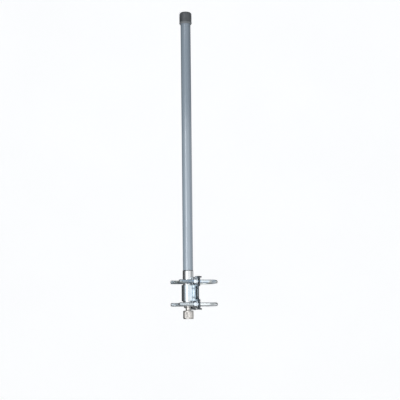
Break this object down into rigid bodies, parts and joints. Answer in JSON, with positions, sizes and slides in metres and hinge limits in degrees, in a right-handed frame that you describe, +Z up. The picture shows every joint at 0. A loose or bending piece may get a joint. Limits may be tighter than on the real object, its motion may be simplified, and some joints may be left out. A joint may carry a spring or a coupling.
{
  "type": "omnidirectional antenna",
  "caption": "Slim upright omnidirectional antenna: fibreglass radome on a metal base sleeve with a coaxial plug below, held to a round mast by a saddle clamp and U-bolts.",
  "frame": {"origin": "on the mast axis, halfway up the mast clamp", "axes": "+Z up along the mast, towards the end cap; +X from the antenna to the mast, towards the U-bolts' bends; +Y across the clamp"},
  "size_m": [0.0942, 0.0684, 0.6637],
  "materials": {
    "cap": "matt moulded vinyl",
    "radome": "satin gelcoat over glass fibre",
    "seal_rubber": "matt",
    "polished_aluminium": "polished, fine turning marks",
    "turned_aluminium": "as turned",
    "nickel": "satin nickel plate",
    "ptfe": "waxy",
    "gold_brass": "thin gold flash",
    "gasket_rubber": "matt silicone",
    "spring_steel": "zinc plated spring steel",
    "foam": "closed-cell foam",
    "brass": "drawn tube",
    "copper": "drawn",
    "zinc_plate": "bright zinc plate with a faint blue passivation",
    "zinc_bolt": "bright zinc plate with a faint blue passivation",
    "zinc_nut": "bright zinc plate"
  },
  "bodies": {
    "clamp": {"saddle_plate": "zinc_plate", "clamp_strap": "zinc_plate", "flat_washers": "zinc_nut"},
    "antenna": {"end_cap": "cap", "radome_tube": "radome", "joint_seal": "seal_rubber", "base_sleeve": "polished_aluminium", "base_plug": "turned_aluminium", "plug_oring": "seal_rubber", "connector_body": "nickel", "connector_insulator": "ptfe", "connector_pin": "gold_brass", "connector_gasket": "gasket_rubber", "snap_ring": "spring_steel", "top_cushion": "foam", "top_whip": "brass", "section_tubes": "brass", "section_cores": "copper", "section_dielectrics": "ptfe", "section_links": "brass", "spacer_discs": "foam", "choke_sleeve": "brass", "choke_insulator": "ptfe", "feed_cable": "copper", "feed_dielectric": "ptfe", "feed_core": "copper"},
    "coupling_nut": {"coupling_nut": "nickel"},
    "upper_u_bolt": {"upper_u_bolt": "zinc_bolt"},
    "lower_u_bolt": {"lower_u_bolt": "zinc_bolt"},
    "upper_near_nut": {"upper_near_nut": "zinc_nut"},
    "upper_far_nut": {"upper_far_nut": "zinc_nut"},
    "lower_near_nut": {"lower_near_nut": "zinc_nut"},
    "lower_far_nut": {"lower_far_nut": "zinc_nut"}
  },
  "joints": [
    {"name": "antenna_height", "type": "slide", "parent": "clamp", "child": "antenna", "axis": [0, 0, 1], "range_m": [-0.026, 0.009]},
    {"name": "coupling_nut_spin", "type": "hinge", "parent": "antenna", "child": "coupling_nut", "pos_m": [-0.03575, 0, -0.04], "axis": [0, 0, 1], "continuous": true},
    {"name": "upper_bolt_slide", "type": "slide", "parent": "clamp", "child": "upper_u_bolt", "axis": [1, 0, 0], "range_m": [0, 0.026]},
    {"name": "lower_bolt_slide", "type": "slide", "parent": "clamp", "child": "lower_u_bolt", "axis": [1, 0, 0], "range_m": [0, 0.026]},
    {"name": "upper_near_nut_spin", "type": "hinge", "parent": "clamp", "child": "upper_near_nut", "pos_m": [-0.034, -0.0257, 0.0237], "axis": [1, 0, 0], "range_deg": [-7490, 0]},
    {"name": "upper_far_nut_spin", "type": "hinge", "parent": "clamp", "child": "upper_far_nut", "pos_m": [-0.034, 0.0257, 0.0237], "axis": [1, 0, 0], "range_deg": [-7490, 0]},
    {"name": "lower_near_nut_spin", "type": "hinge", "parent": "clamp", "child": "lower_near_nut", "pos_m": [-0.034, -0.0257, -0.0237], "axis": [1, 0, 0], "range_deg": [-7490, 0]},
    {"name": "lower_far_nut_spin", "type": "hinge", "parent": "clamp", "child": "lower_far_nut", "pos_m": [-0.034, 0.0257, -0.0237], "axis": [1, 0, 0], "range_deg": [-7490, 0]}
  ],
  "couplings": [
    {"joint": "upper_near_nut_spin", "follows": "upper_bolt_slide", "rad_per_m": -5026.5},
    {"joint": "upper_far_nut_spin", "follows": "upper_bolt_slide", "rad_per_m": -5026.5},
    {"joint": "lower_near_nut_spin", "follows": "lower_bolt_slide", "rad_per_m": -5026.5},
    {"joint": "lower_far_nut_spin", "follows": "lower_bolt_slide", "rad_per_m": -5026.5}
  ]
}
